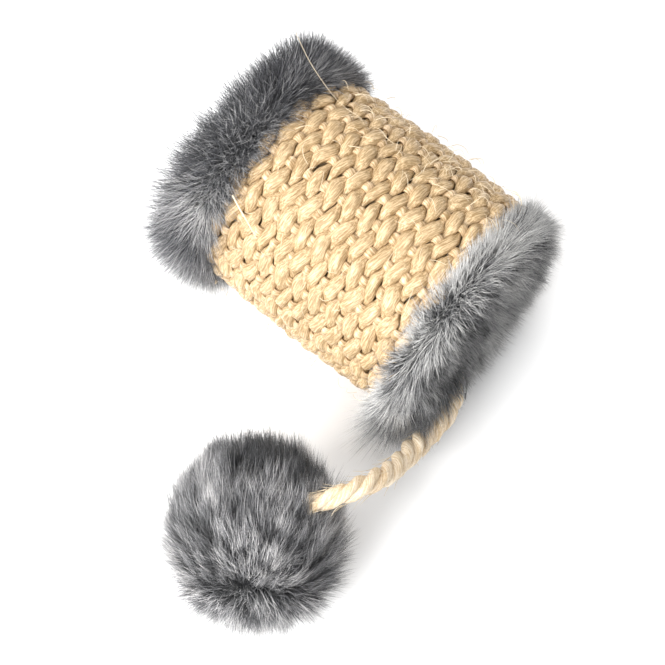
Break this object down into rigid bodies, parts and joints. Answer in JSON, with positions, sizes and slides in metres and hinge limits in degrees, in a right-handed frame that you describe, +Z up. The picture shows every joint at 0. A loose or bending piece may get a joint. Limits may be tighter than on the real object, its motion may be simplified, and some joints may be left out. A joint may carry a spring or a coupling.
{
  "type": "barrel cat toy",
  "caption": "Cat toy: a small barrel covered with woven sisal, with grey fur round both ends and a fur ball on a short sisal rope",
  "frame": {"origin": "on the floor, under the middle of the box round the barrel and ball", "axes": "X runs along the barrel from its plain end to its rope end, +Y from the ball towards the barrel, +Z up"},
  "size_m": [0.105, 0.1486, 0.0755],
  "materials": {
    "card": "matte",
    "sisal_mat": "matte",
    "sisal_rope": "matte",
    "plain_end_fur": "matte",
    "rope_end_fur": "matte",
    "ball_fur": "matte",
    "wadding": "matte",
    "thread": "matte"
  },
  "bodies": {
    "barrel": {"core_tube": "card", "plain_end_disc": "card", "rope_end_disc": "card", "sisal_sleeve": "sisal_mat", "plain_end_fur_band": "plain_end_fur", "rope_end_fur_band": "rope_end_fur", "plain_end_fur_cap": "plain_end_fur", "rope_end_fur_cap": "rope_end_fur", "rope_anchor_knot": "sisal_rope"},
    "rope": {"rope": "sisal_rope"},
    "ball": {"ball_fur_cover": "ball_fur", "ball_filling": "wadding", "ball_knot": "sisal_rope", "ball_neck_thread": "thread"}
  },
  "joints": [
    {"name": "rope_swing", "type": "hinge", "parent": "barrel", "child": "rope", "pos_m": [0.0418, 0.026, 0.0195], "axis": [0, 0, 1], "range_deg": [-4, 180], "deforming": ["rope"]},
    {"name": "ball_nod", "type": "hinge", "parent": "rope", "child": "ball", "pos_m": [0.0343, -0.0373, 0.0406], "axis": [-0.7369, 0.676, 0], "range_deg": [-10, 40], "stiffness_Nm_per_rad": 0.004, "deforming": ["rope"]}
  ]
}
